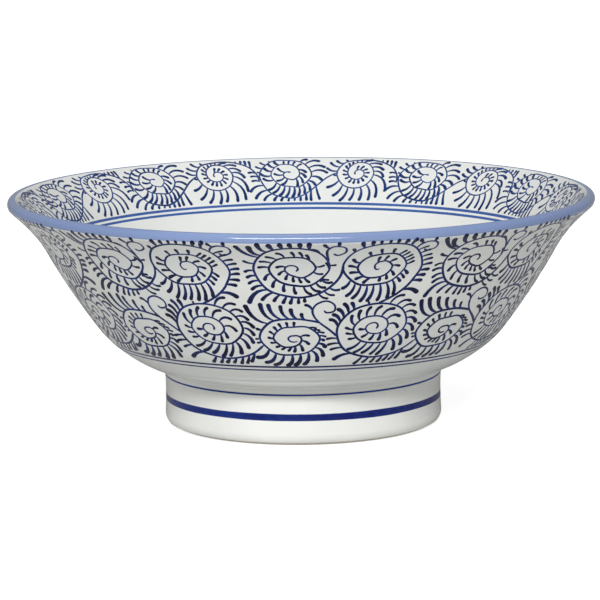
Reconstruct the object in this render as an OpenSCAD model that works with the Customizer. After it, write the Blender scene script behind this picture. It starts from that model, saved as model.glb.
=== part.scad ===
// Porcelain serving bowl on a tall foot ring.
// The bowl stands on the XY plane, centred on the Z axis. Sizes are in millimetres.
// Body, foot and joint are clay; every other piece is a fired coat that lies on them face to face.

/* [Bowl] */
// Diameter over the rim
rim_d = 208; // [172:1:250]
// Height from the table to the top of the rim
bowl_h = 82; // [68:1:99]
// Thickness of the rounded rim
rim_t = 4.2; // [3.4:0.1:5.2]
// Thickness of the wall where the rim starts to flare
flare_t = 4.9; // [4:0.1:6]
// Thickness of the wall at the shoulder, where it turns under to the foot
wall_t = 5.8; // [4.8:0.1:7]
// Thickness of the floor at its middle
floor_t = 5.4; // [4.4:0.1:6.6]

/* [Outline] */
// Angle of the flared rim from level
rim_angle = 41; // [34:1:49]
// How far in from the rim the flare starts
flare_in = 13.3; // [11:0.1:16]
// How far below the top of the rim the flare starts
flare_drop = 18.4; // [15:0.1:22.2]
// Bow of the wall: how far its ends turn away from a straight line, in degrees
wall_bow = 4.2; // [0:0.1:6]
// How far the shoulder stands out beyond the foot
shoulder_out = 23; // [19:0.1:27.6]
// Height of the shoulder above the joint
shoulder_rise = 15.6; // [13:0.1:18.8]
// Angle of the underside beside the foot, from level
underside_angle = 10.5; // [8:0.5:13]

/* [Foot] */
// Diameter of the foot ring
foot_d = 98.6; // [82:0.1:119]
// Height of the foot ring below the joint
foot_h = 19; // [15.8:0.1:22.8]
// Thickness of the foot ring's wall
foot_wall = 8; // [6.7:0.1:9.6]
// Taper of the foot's inner wall: how much wider the well is at its mouth
well_taper = 0.8; // [0:0.1:1.2]
// Depth of the waist in the foot's outer wall
foot_waist = 0.25; // [0:0.05:0.5]
// Rounding of the foot's outer lower edge
foot_edge_r = 4.2; // [3.5:0.1:5]
// Rounding of the foot's inner lower edge
well_edge_r = 1.6; // [1.3:0.1:2]
// Angle below level at which the coats stop and leave the standing edge bare
bare_angle = 40; // [30:1:50]
// Radius of the glaze that pools in the corner of the well
pool_r = 2; // [1.6:0.1:2.4]

/* [Joint and coats] */
// Thickness of the slip between foot and bowl
slip_t = 0.6; // [0.4:0.1:1]
// Radius of the crease where the underside meets the foot
crease_r = 1.2; // [1:0.1:1.5]
// Thickness of the glaze
glaze_t = 0.3; // [0.2:0.05:0.4]
// Angle, from level outwards, at which the rim's coloured band starts below the rim
band_low = -28; // [-36:1:-20]
// Angle, from level outwards, at which the band ends inside the rim
band_high = 112; // [100:1:118]

/* [Hidden] */
$fn = 180;

// Number of straight steps in each curved stretch of an outline, and in each rounded edge
curve_steps = 14;
edge_steps = 8;

// A direction, and the direction square to its left, with radius to the right and height upwards
function direction(angle) = [cos(angle), sin(angle)];
function left_of(angle) = [-sin(angle), cos(angle)];

// A cubic curve between two stations; each handle's length is a share of the straight distance
function curve(from, from_angle, to, to_angle, from_share, to_share) =
    let (distance = norm(to - from))
    [from, from + from_share * distance * direction(from_angle),
     to - to_share * distance * direction(to_angle), to];
function point_on(c, t) =
    pow(1 - t, 3) * c[0] + 3 * pow(1 - t, 2) * t * c[1] + 3 * (1 - t) * t * t * c[2] + pow(t, 3) * c[3];
function heading(c, t) =
    let (d = pow(1 - t, 2) * (c[1] - c[0]) + 2 * (1 - t) * t * (c[2] - c[1]) + t * t * (c[3] - c[2]))
    d / norm(d);
function left_normal(c, t) = let (h = heading(c, t)) [-h[1], h[0]];

// Points to the left of a curve, at a depth that changes evenly along it; its end point is left out
function beside(c, start_depth, end_depth, first = 0) =
    [for (i = [first : curve_steps - 1])
        let (t = i / curve_steps)
        point_on(c, t) + (start_depth + t * (end_depth - start_depth)) * left_normal(c, t)];
function arc(centre, r, from, to, first = 0) =
    [for (i = [first : edge_steps]) centre + r * direction(from + i * (to - from) / edge_steps)];
function backwards(points) = [for (i = [len(points) - 1 : -1 : 0]) points[i]];

rim_r = rim_d / 2;
lip_r = rim_t / 2;
lip_centre = [rim_r - lip_r, bowl_h - lip_r];
foot_r = foot_d / 2;
joint_z = foot_h + slip_t;
floor_z = joint_z + floor_t;

// Stations on the outer face: the crease beside the foot, the shoulder, the flare and the rim
crease_centre = [foot_r + crease_r, joint_z];
crease = crease_centre + crease_r * left_of(underside_angle);
shoulder = [foot_r + shoulder_out, joint_z + shoulder_rise];
flare = [rim_r - flare_in, bowl_h - flare_drop];
rim = lip_centre - lip_r * left_of(rim_angle);

// The wall bows out a little from the straight line between shoulder and flare
wall_angle = atan2(flare[1] - shoulder[1], flare[0] - shoulder[0]);
shoulder_angle = wall_angle - wall_bow;
flare_angle = wall_angle + wall_bow;

underside_curve = curve(crease, underside_angle, shoulder, shoulder_angle, 0.3, 0.28);
wall_curve = curve(shoulder, shoulder_angle, flare, flare_angle, 1 / 3, 1 / 3);
rim_curve = curve(flare, flare_angle, rim, rim_angle, 1 / 3, 1 / 3);

// The inside follows the wall down to the shoulder and sweeps from there across the floor
inner_shoulder = shoulder + wall_t * left_of(shoulder_angle);
floor_curve = curve(inner_shoulder, shoulder_angle + 180, [0, floor_z], 180, 0.19, 0.5);

// The foot's edges are rounded about these centres, and the clay touches the table between them
outer_edge = [foot_r - foot_edge_r, foot_edge_r - glaze_t];
mouth_r = foot_r - foot_wall;
well_edge = [mouth_r + well_edge_r, well_edge_r - glaze_t];
well_top_r = mouth_r - well_taper;

// Outer face of the bowl, at a depth under the finished surface, from the joint up to the rim
function outer_face(depth) = concat(
    arc(crease_centre, crease_r + depth, 180, 90 + underside_angle),
    beside(underside_curve, depth, depth, 1),
    beside(wall_curve, depth, depth),
    beside(rim_curve, depth, depth));

// Stretches of the rounded rim: below its coloured band, under the band, and inside it
function low_rim(depth) = arc(lip_centre, lip_r - depth, rim_angle - 90, band_low);
function band_rim(depth, first = 0) = arc(lip_centre, lip_r - depth, band_low, band_high, first);
function inner_rim(depth, first = 0) = arc(lip_centre, lip_r - depth, band_high, rim_angle + 90, first);

// Inner face, at a depth under the finished surface, from the rim down to the middle of the floor
function inner_face(depth) = concat(
    backwards(beside(rim_curve, flare_t - depth, rim_t - depth)),
    backwards(beside(wall_curve, wall_t - depth, flare_t - depth)),
    beside(floor_curve, depth, depth, 1),
    [[0, floor_z - depth]]);

// Outer face of the foot, at a depth under its glaze, from where the coat starts up to the joint
function foot_face(depth, first = 0) =
    let (pull = foot_waist / 0.75,
         waist = [[foot_r, outer_edge[1]],
                  [foot_r - pull, outer_edge[1] + foot_h / 3],
                  [foot_r - pull, foot_h - foot_h / 3],
                  [foot_r, foot_h]])
    concat(
        arc(outer_edge, foot_edge_r - depth, -bare_angle, 0, first),
        [for (i = [1 : curve_steps]) point_on(waist, i / curve_steps) - [depth, 0]]);

// Inner edge of the foot, at a depth under its glaze, from the well's wall down to the coat's end
function well_lip(depth) = arc(well_edge, well_edge_r - depth, 180, 180 + bare_angle);

module turned(outline) {
    rotate_extrude() polygon(outline);
}

module coat(finished, clay) {
    turned(concat(finished, backwards(clay)));
}

module bowl_shell() {
    color("ghostwhite")
    turned(concat(
        outer_face(glaze_t),
        low_rim(glaze_t),
        band_rim(glaze_t, 1),
        inner_rim(glaze_t, 1),
        inner_face(glaze_t),
        [[0, joint_z]]));
}

module foot_ring() {
    color("linen")
    turned(concat(
        arc(outer_edge, foot_edge_r - glaze_t, -90, -bare_angle),
        foot_face(glaze_t, 1),
        [[well_top_r + glaze_t, foot_h]],
        well_lip(glaze_t),
        arc(well_edge, well_edge_r - glaze_t, 180 + bare_angle, 270, 1)));
}

module luting_slip() {
    color("wheat")
    translate([0, 0, foot_h])
    difference() {
        cylinder(h = slip_t, r = foot_r - glaze_t);
        translate([0, 0, -slip_t])
            cylinder(h = 3 * slip_t, r = well_top_r + glaze_t);
    }
}

module inner_glaze() {
    color("aliceblue")
    coat(concat(inner_rim(0), inner_face(0)), concat(inner_rim(glaze_t), inner_face(glaze_t)));
}

module outer_glaze() {
    color("lavender")
    coat(concat(outer_face(0), low_rim(0)), concat(outer_face(glaze_t), low_rim(glaze_t)));
}

module rim_band() {
    color("cornflowerblue")
    coat(band_rim(0), band_rim(glaze_t));
}

module foot_glaze() {
    color("white")
    coat(concat(foot_face(0), [[foot_r, joint_z]]),
         concat(foot_face(glaze_t), [[foot_r - glaze_t, joint_z]]));
}

module foot_well_glaze() {
    pool_centre = [well_top_r - pool_r, joint_z - glaze_t - pool_r];
    color("mintcream")
    turned(concat(
        [[0, joint_z - glaze_t]],
        backwards(arc(pool_centre, pool_r, 0, 90)),
        well_lip(0),
        backwards(well_lip(glaze_t)),
        [[well_top_r + glaze_t, foot_h], [well_top_r + glaze_t, joint_z], [0, joint_z]]));
}

bowl_shell();
foot_ring();
luting_slip();
inner_glaze();
outer_glaze();
rim_band();
foot_glaze();
foot_well_glaze();
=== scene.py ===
"""Porcelain serving bowl with a painted blue scroll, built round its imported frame.

The bowl is turned from one outline, coat by coat, and the scroll is laid on the two faces of the wall
as thin raised brush strokes. Sizes are in metres, and in millimetres where a name says so.
"""

import math
import random

import bpy
import numpy as np
from bpy.props import FloatProperty, FloatVectorProperty, PointerProperty
from bpy.types import Operator, Panel, PropertyGroup
from mathutils import Matrix, Vector


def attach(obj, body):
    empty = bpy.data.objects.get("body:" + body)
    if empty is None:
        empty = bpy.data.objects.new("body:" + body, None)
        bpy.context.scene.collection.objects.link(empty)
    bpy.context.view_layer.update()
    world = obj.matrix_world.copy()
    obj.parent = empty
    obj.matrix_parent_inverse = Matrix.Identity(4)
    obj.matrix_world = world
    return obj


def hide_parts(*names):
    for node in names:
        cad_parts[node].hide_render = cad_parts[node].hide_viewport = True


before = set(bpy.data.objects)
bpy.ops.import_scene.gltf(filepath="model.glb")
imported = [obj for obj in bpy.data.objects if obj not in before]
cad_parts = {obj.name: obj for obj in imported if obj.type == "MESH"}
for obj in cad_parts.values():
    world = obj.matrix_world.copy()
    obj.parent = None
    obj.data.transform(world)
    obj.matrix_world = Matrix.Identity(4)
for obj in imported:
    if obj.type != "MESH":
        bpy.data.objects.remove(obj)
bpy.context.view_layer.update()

bl_info = {
    "name": "Painted Porcelain Bowl",
    "version": (1, 0, 0),
    "blender": (4, 5, 0),
    "location": "3D View > Sidebar > Bowl",
    "description": "Builds a porcelain serving bowl with a painted blue scroll",
    "category": "Add Mesh",
}

MM = 0.001


# ---------------------------------------------------------------- sizes and colours

def length(name, description, default):
    """A size that a user may change, in metres."""
    return FloatProperty(name=name, description=description, default=default, min=0.0,
                         subtype="DISTANCE", unit="LENGTH", precision=4)


def angle(name, description, degrees):
    """An angle that a user may change."""
    return FloatProperty(name=name, description=description, default=math.radians(degrees),
                         subtype="ANGLE", unit="ROTATION")


def colour(name, description, red, green, blue):
    """A colour that a user may change, as a painter reads it on a chart from 0 to 255."""
    return FloatVectorProperty(name=name, description=description, size=3, min=0.0, max=1.0,
                               subtype="COLOR", default=[to_light(c / 255) for c in (red, green, blue)])


def to_light(c):
    """Amount of light for a colour chart's value."""
    return c / 12.92 if c <= 0.04045 else ((c + 0.055) / 1.055) ** 2.4


class BowlSizes(PropertyGroup):
    """Sizes of the turned bowl."""
    rim_width: length("Rim width", "Width over the rim", 0.208)
    height: length("Height", "Height from the table to the top of the rim", 0.082)
    rim_thickness: length("Rim thickness", "Thickness of the rounded rim", 0.0042)
    flare_thickness: length("Flare thickness", "Thickness of the wall where the rim flares", 0.0049)
    wall_thickness: length("Wall thickness", "Thickness of the wall at the shoulder", 0.0058)
    floor_thickness: length("Floor thickness", "Thickness of the middle of the floor", 0.0054)
    rim_slope: angle("Rim slope", "Slope of the flared rim from level", 41)
    underside_slope: angle("Underside slope", "Slope of the underside beside the foot", 10.5)
    wall_bow: angle("Wall bow", "How far the wall's ends turn from a straight line", 4.2)
    flare_in: length("Flare in", "How far in from the rim the flare starts", 0.0133)
    flare_drop: length("Flare drop", "How far below the rim the flare starts", 0.0184)
    shoulder_out: length("Shoulder out", "How far the shoulder stands out beyond the foot", 0.023)
    shoulder_rise: length("Shoulder rise", "Height of the shoulder above the joint", 0.0156)
    foot_width: length("Foot width", "Width over the foot ring", 0.0986)
    foot_height: length("Foot height", "Height of the foot ring below the joint", 0.019)
    foot_wall: length("Foot wall", "Thickness of the foot ring's wall", 0.008)
    glaze: length("Glaze", "Thickness of the glaze", 0.0003)


class BowlBrush(PropertyGroup):
    """Sizes of the painter's strokes."""
    vine_width: length("Vine width", "Width of the scrolling vine line", 0.00098)
    dash_tail: length("Dash tail", "Width of a dash at its thin end", 0.00052)
    border_width: length("Border width", "Width of the lines that bound the scroll", 0.0007)
    relief: length("Relief", "Height of the paint above the glaze", 0.00003)
    foot_band_width: length("Foot band width", "Width of the broad band on the foot", 0.0026)
    foot_line_width: length("Foot line width", "Width of the thin line on the foot", 0.0007)


class BowlColours(PropertyGroup):
    """Colours of the clay, the glazes and the paint."""
    clay: colour("Clay", "Bare fired clay", 226, 220, 206)
    glaze: colour("Glaze", "Clear glaze over white clay", 234, 235, 232)
    # Painted light: the foot's glaze is the same clear glaze, painted lighter than the wall's to stand in
    # for the light the foot catches from the floor and the front lamp
    foot_glaze: colour("Foot glaze", "Clear glaze over the white clay of the foot", 245, 246, 242)
    pooled_glaze: colour("Pooled glaze", "Glaze where it lies thick", 226, 229, 227)
    cobalt_thin: colour("Thin cobalt", "Cobalt where the brush ran dry", 34, 68, 156)
    cobalt_thick: colour("Thick cobalt", "Cobalt where the brush rested", 1, 3, 36)
    inner_thin: colour("Inner thin cobalt", "Cobalt inside the rim where the brush ran dry", 70, 104, 172)
    inner_thick: colour("Inner thick cobalt", "Cobalt inside the rim where the brush rested", 22, 44, 92)
    rim_blue: colour("Rim blue", "Blue glaze of the rim", 132, 152, 196)
    band_blue: colour("Band blue", "Cobalt of the broad band on the foot", 14, 26, 100)
    floor: colour("Floor", "Floor under the bowl", 215, 215, 213)


def sizes():
    return bpy.context.scene.bowl_sizes


def brush():
    return bpy.context.scene.bowl_brush


def colours():
    return bpy.context.scene.bowl_colours


# ---------------------------------------------------------------- outline

# A point of an outline is one complex number: radius, and height times the square root of -1.
TURN_LEFT = 1j
# Straight steps in a curved stretch and in a rounded edge, where the surface shows and where it doesn't
SHOWN_STEPS = 34
HIDDEN_STEPS = 12
EDGE_STEPS = 18
SEGMENTS = 480
SHARP_DEGREES = 35

# Small roundings, coats and tapers of the outline in metres, and angles of it in degrees
CREASE_RADIUS = 0.0012
SLIP_THICKNESS = 0.0006
WELL_TAPER = 0.0008
FOOT_WAIST = 0.00025
FOOT_EDGE_RADIUS = 0.0042
WELL_EDGE_RADIUS = 0.0016
POOL_RADIUS = 0.002
BARE_ANGLE = 40
BAND_LOW = -28
BAND_HIGH = 112
# How far each curve's handles reach, as shares of its length
UNDERSIDE_HANDLES = (0.3, 0.28)
WALL_HANDLES = (1 / 3, 1 / 3)
FLOOR_HANDLES = (0.19, 0.5)


def direction(degrees):
    return complex(math.cos(math.radians(degrees)), math.sin(math.radians(degrees)))


def arc(centre, radius, start, end, steps=EDGE_STEPS):
    """Points on an arc, between two angles in degrees from level."""
    return centre + radius * np.exp(1j * np.radians(np.linspace(start, end, steps + 1)))


class Curve:
    """A cubic curve between two stations of the outline; each handle is a share of the distance."""

    def __init__(self, start, start_angle, end, end_angle, shares):
        distance = abs(end - start)
        self.points = (start, start + shares[0] * distance * direction(start_angle),
                       end - shares[1] * distance * direction(end_angle), end)

    def at(self, t):
        a, b, c, d = self.points
        return (1 - t) ** 3 * a + 3 * (1 - t) ** 2 * t * b + 3 * (1 - t) * t ** 2 * c + t ** 3 * d

    def beside(self, start_depth, end_depth, steps):
        """Points to the left of the curve, at a depth that changes evenly."""
        a, b, c, d = self.points
        t = np.linspace(0, 1, steps + 1)
        heading = (1 - t) ** 2 * (b - a) + 2 * (1 - t) * t * (c - b) + t ** 2 * (d - c)
        depth = start_depth + t * (end_depth - start_depth)
        return self.at(t) + depth * TURN_LEFT * heading / abs(heading)


class Outline:
    """Half section of the bowl. depth is how far a line lies under the finished surface."""

    def __init__(self, s):
        self.s = s
        slope = math.degrees(s.rim_slope)
        under = math.degrees(s.underside_slope)
        rim_radius = s.rim_width / 2
        self.lip_radius = s.rim_thickness / 2
        self.lip = complex(rim_radius - self.lip_radius, s.height - self.lip_radius)
        self.foot_radius = s.foot_width / 2
        self.joint = s.foot_height + SLIP_THICKNESS
        self.floor = self.joint + s.floor_thickness
        self.crease = complex(self.foot_radius + CREASE_RADIUS, self.joint)
        self.under = under
        self.slope = slope
        crease_end = self.crease + CREASE_RADIUS * TURN_LEFT * direction(under)
        shoulder = complex(self.foot_radius + s.shoulder_out, self.joint + s.shoulder_rise)
        flare = complex(rim_radius - s.flare_in, s.height - s.flare_drop)
        rim = self.lip - self.lip_radius * TURN_LEFT * direction(slope)
        wall_angle = math.degrees(math.atan2((flare - shoulder).imag, (flare - shoulder).real))
        bow = math.degrees(s.wall_bow)
        start, end = wall_angle - bow, wall_angle + bow
        self.underside = Curve(crease_end, under, shoulder, start, UNDERSIDE_HANDLES)
        self.wall = Curve(shoulder, start, flare, end, WALL_HANDLES)
        self.flare = Curve(flare, end, rim, slope, WALL_HANDLES)
        inner_shoulder = shoulder + s.wall_thickness * TURN_LEFT * direction(start)
        self.sweep = Curve(inner_shoulder, start + 180, complex(0, self.floor), 180, FLOOR_HANDLES)
        self.outer_edge = complex(self.foot_radius - FOOT_EDGE_RADIUS, FOOT_EDGE_RADIUS - s.glaze)
        self.mouth = self.foot_radius - s.foot_wall
        self.well_edge = complex(self.mouth + WELL_EDGE_RADIUS, WELL_EDGE_RADIUS - s.glaze)
        self.well_top = self.mouth - WELL_TAPER

    def outer_face(self, depth, steps):
        """From the joint up to the rim."""
        return join(
            arc(self.crease, CREASE_RADIUS + depth, 180, 90 + self.under),
            self.underside.beside(depth, depth, steps),
            self.wall.beside(depth, depth, steps),
            self.flare.beside(depth, depth, steps))

    def lip_arc(self, depth, start, end):
        return arc(self.lip, self.lip_radius - depth, start, end)

    def low_rim(self, depth):
        return self.lip_arc(depth, self.slope - 90, BAND_LOW)

    def band_rim(self, depth):
        return self.lip_arc(depth, BAND_LOW, BAND_HIGH)

    def inner_rim(self, depth):
        return self.lip_arc(depth, BAND_HIGH, self.slope + 90)

    def inner_face(self, depth, steps):
        """From the rim down to the middle of the floor."""
        s = self.s
        return join(
            self.flare.beside(s.flare_thickness - depth, s.rim_thickness - depth, steps)[::-1],
            self.wall.beside(s.wall_thickness - depth, s.flare_thickness - depth, steps)[::-1],
            self.sweep.beside(depth, depth, steps))

    def foot_face(self, depth, steps):
        """From where the foot's coat starts up to the joint."""
        low, high = self.outer_edge.imag, self.s.foot_height
        pull = FOOT_WAIST / 0.75
        t = np.linspace(0, 1, steps + 1)
        waist = (complex(self.foot_radius, low), complex(self.foot_radius - pull, low + high / 3),
                 complex(self.foot_radius - pull, high * 2 / 3), complex(self.foot_radius, high))
        side = sum(share * point for share, point in zip(
            ((1 - t) ** 3, 3 * (1 - t) ** 2 * t, 3 * (1 - t) * t ** 2, t ** 3), waist))
        return join(arc(self.outer_edge, FOOT_EDGE_RADIUS - depth, -BARE_ANGLE, 0), side - depth)

    def well_lip(self, depth):
        return arc(self.well_edge, WELL_EDGE_RADIUS - depth, 180, 180 + BARE_ANGLE)


def join(*stretches):
    """One line from several, without the points that two of them share."""
    line = np.concatenate([np.atleast_1d(np.asarray(s, complex)) for s in stretches])
    keep = np.concatenate([[True], abs(np.diff(line)) > 1e-7])
    return line[keep]


# ---------------------------------------------------------------- meshes

def new_piece(name, mesh, material, slot, *nodes):
    """Puts a mesh in the scene as a piece of the bowl."""
    piece = bpy.data.objects.new(name, mesh)
    bpy.context.scene.collection.objects.link(piece)
    mesh.materials.append(material)
    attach(piece, "root")
    if nodes:
        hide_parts(*nodes)
    return piece


def turned(name, outline):
    """A closed outline turned about the bowl's axis. The outline runs anticlockwise."""
    outline = join(outline)
    if abs(outline[0] - outline[-1]) < 1e-7:
        outline = outline[:-1]
    on_axis = outline.real < 1e-7
    turns = np.linspace(0, 2 * math.pi, SEGMENTS, endpoint=False)
    index, corners = [], []
    for point, centred in zip(outline, on_axis):
        first = len(corners)
        if centred:
            corners.append((0, 0, point.imag))
            index.append(np.full(SEGMENTS, first))
        else:
            corners.extend(zip(point.real * np.cos(turns), point.real * np.sin(turns),
                               np.full(SEGMENTS, point.imag)))
            index.append(first + np.arange(SEGMENTS))
    faces = []
    for i in range(len(outline)):
        j = (i + 1) % len(outline)
        if on_axis[i] and on_axis[j]:
            continue
        low, high = index[i], index[j]
        ring = np.stack([low, np.roll(low, -1), np.roll(high, -1), high], -1)
        if on_axis[i]:
            ring = ring[:, [0, 2, 3]]
        elif on_axis[j]:
            ring = ring[:, [0, 1, 2]]
        faces.extend(ring.tolist())
    mesh = bpy.data.meshes.new(name)
    mesh.from_pydata(corners, [], faces)
    mesh.validate()
    mesh.shade_smooth()
    mesh.set_sharp_from_angle(angle=math.radians(SHARP_DEGREES))
    return mesh


# ---------------------------------------------------------------- faces that carry the paint

class Face:
    """A face of the bowl unrolled: degrees round it, and millimetres along its outline."""

    def __init__(self, line, front, air):
        self.line = line
        self.run = np.concatenate([[0], np.cumsum(abs(np.diff(line)))]) / MM
        heading = np.gradient(line)
        self.out = air * TURN_LEFT * heading / abs(heading)
        self.front = front

    def radius_mm(self, along):
        return float(np.interp(along, self.run, self.line.real)) / MM

    def place(self, degrees, along):
        """Points on the face and the directions square to it."""
        turn = np.radians(degrees)
        spot = np.interp(along, self.run, self.line.real) + 1j * np.interp(along, self.run, self.line.imag)
        out = np.interp(along, self.run, self.out.real) + 1j * np.interp(along, self.run, self.out.imag)
        out = out / abs(out)
        round_x, round_y = np.sin(turn), self.front * np.cos(turn)
        points = np.stack([spot.real * round_x, spot.real * round_y, spot.imag], -1)
        square = np.stack([out.real * round_x, out.real * round_y, out.imag], -1)
        return points, square


class Paint:
    """Gathers brush strokes on one face of the bowl into one mesh."""

    # Each stroke's section: place across it in half widths, height in reliefs, and share of its load
    SECTION = ((-1.0, -1.0, 0.72), (-0.9, 0.9, 0.8), (0.0, 1.0, 1.0), (0.9, 0.9, 0.8), (1.0, -1.0, 0.72))

    def __init__(self, face, seed):
        self.face = face
        self.chance = random.Random(seed)
        self.corners, self.normals, self.loads, self.sheets, self.faces = [], [], [], [], []
        self.count = 0

    def stroke(self, degrees, along, half_widths, loads, closed=False):
        """One stroke along a path; half_widths in metres and loads at each of its points."""
        points, square = self.face.place(degrees, along)
        if closed:
            way = np.roll(points, -1, 0) - np.roll(points, 1, 0)
        else:
            way = np.gradient(points, axis=0)
        way /= np.linalg.norm(way, axis=1)[:, None]
        across = np.cross(square, way)
        lift = brush().relief * (1 + 0.15 * self.chance.random())
        sides = len(self.SECTION)
        ring = np.zeros((len(points), sides, 3))
        load = np.zeros((len(points), sides))
        for k, (place, height, share) in enumerate(self.SECTION):
            ring[:, k] = points + place * half_widths[:, None] * across + height * lift * square
            load[:, k] = loads * share
        index = self.count + np.arange(len(points) * sides).reshape(len(points), sides)
        following = np.roll(index, -1, 0) if closed else index[1:]
        current = index if closed else index[:-1]
        turned_index = np.roll(current, -1, 1)
        turned_next = np.roll(following, -1, 1)
        quads = np.stack([current, following, turned_next, turned_index], -1).reshape(-1, 4)
        self.faces.extend(quads.tolist())
        if not closed:
            self.faces.append(index[0].tolist())
            self.faces.append(index[-1][::-1].tolist())
        self.corners.append(ring.reshape(-1, 3))
        self.normals.append(np.repeat(square, sides, 0))
        self.loads.append(load.reshape(-1))
        self.unroll(degrees, along, half_widths, closed)
        self.count += len(points) * sides

    def unroll(self, degrees, along, half_widths, closed):
        """Lays the stroke's faces out flat, as degrees and millimetres, with its underside below them."""
        flat = np.stack([degrees, along], -1)
        scale = np.array([math.radians(1) * self.face.radius_mm(np.mean(along)), 1.0])
        way = np.gradient(flat * scale, axis=0)
        way /= np.linalg.norm(way, axis=1)[:, None]
        sideways = np.stack([-way[:, 1], way[:, 0]], -1) * half_widths[:, None] / MM / scale
        places = np.array([place for place, height, share in self.SECTION])
        here = flat[:, None] + places[None, :, None] * sideways[:, None]
        ahead = np.roll(here, -1, 0)
        ahead[-1, :, 0] += 360
        if not closed:
            first, last = here[0], here[-1]
            here, ahead = here[:-1], ahead[:-1]
        sheet = np.stack([here, ahead, np.roll(ahead, -1, 1), np.roll(here, -1, 1)], 2)
        sheet[:, -1, :, 1] = -1.0 - 0.02 * sheet[:, -1, :, 1]
        self.sheets.append(sheet.reshape(-1, 2))
        if not closed:
            self.sheets += [first, last[::-1]]

    def mesh(self, name):
        mesh = bpy.data.meshes.new(name)
        mesh.from_pydata(np.concatenate(self.corners).tolist(), [], self.faces)
        mesh.shade_smooth()
        mesh.attributes.new("load", "FLOAT", "POINT").data.foreach_set("value", np.concatenate(self.loads))
        mesh.normals_split_custom_set_from_vertices(np.concatenate(self.normals).tolist())
        sheet = np.concatenate(self.sheets)
        sheet = (sheet - sheet.min(0)) / (sheet.max(0) - sheet.min(0))
        mesh.uv_layers.new(name="OFBake").data.foreach_set("uv", sheet.ravel())
        return mesh


# ---------------------------------------------------------------- scroll

# Millimetres between the points of a vine line
VINE_STEP = 0.7


def through(points, shares):
    """Points on a smooth curve through the given ones; a share of 2.5 is halfway from the third
    to the fourth."""
    points = np.asarray(points, float)
    last = len(points) - 1
    shares = np.asarray(shares, float)
    first = np.clip(np.floor(shares).astype(int), 0, last - 1)
    t = (shares - first).reshape((-1,) + (1,) * (points.ndim - 1))
    before, start = points[np.maximum(first - 1, 0)], points[first]
    end, after = points[first + 1], points[np.minimum(first + 2, last)]
    return 0.5 * (2 * start + (end - before) * t
                  + (2 * before - 5 * start + 4 * end - after) * t ** 2
                  + (3 * start - before - 3 * end + after) * t ** 3)


class Vine:
    """A vine line in millimetres about its own centre: lead-in points, then a coil given by its reach
    at every quarter turn. dot is the size of the bead that it ends in."""

    def __init__(self, row_radius, centre, lead=(), reach=(), start=-90, sense=-1, dot=0.0):
        self.row_radius = row_radius
        self.centre = np.array(centre, float)
        self.lead_count = len(lead)
        self.dot = dot
        halves = np.arange(0, len(reach) - 0.49, 0.5) if reach else np.zeros(0)
        far = through(reach, halves) if reach else np.zeros(0)
        turn = np.radians(start + sense * 90 * halves)
        coil = np.stack([far * np.cos(turn), far * np.sin(turn)], -1)
        self.points = np.concatenate([np.array(lead, float).reshape(-1, 2), coil])

    def quarter(self, count):
        """Share of the line at a quarter turn of its coil."""
        return self.lead_count + 2 * count

    def local(self, shares):
        return through(self.points, shares)

    def unrolled(self, shares):
        """Degrees round the bowl and millimetres along its face."""
        p = self.local(shares)
        degrees = self.centre[0] + np.degrees(p[:, 0] / self.row_radius)
        return np.stack([degrees, self.centre[1] + p[:, 1]], -1)

    def even(self, first, last, spacing):
        """Evenly spaced shares between two shares of the line."""
        fine = np.linspace(first, last, 40 * (2 + int(last - first)))
        p = self.local(fine)
        run = np.concatenate([[0], np.cumsum(np.linalg.norm(np.diff(p, axis=0), axis=1))])
        count = max(1, int(round(run[-1] / spacing)))
        return np.interp(np.linspace(0, run[-1], count + 1), run, fine)

    def whole(self, spacing):
        return self.even(0, len(self.points) - 1, spacing)


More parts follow.
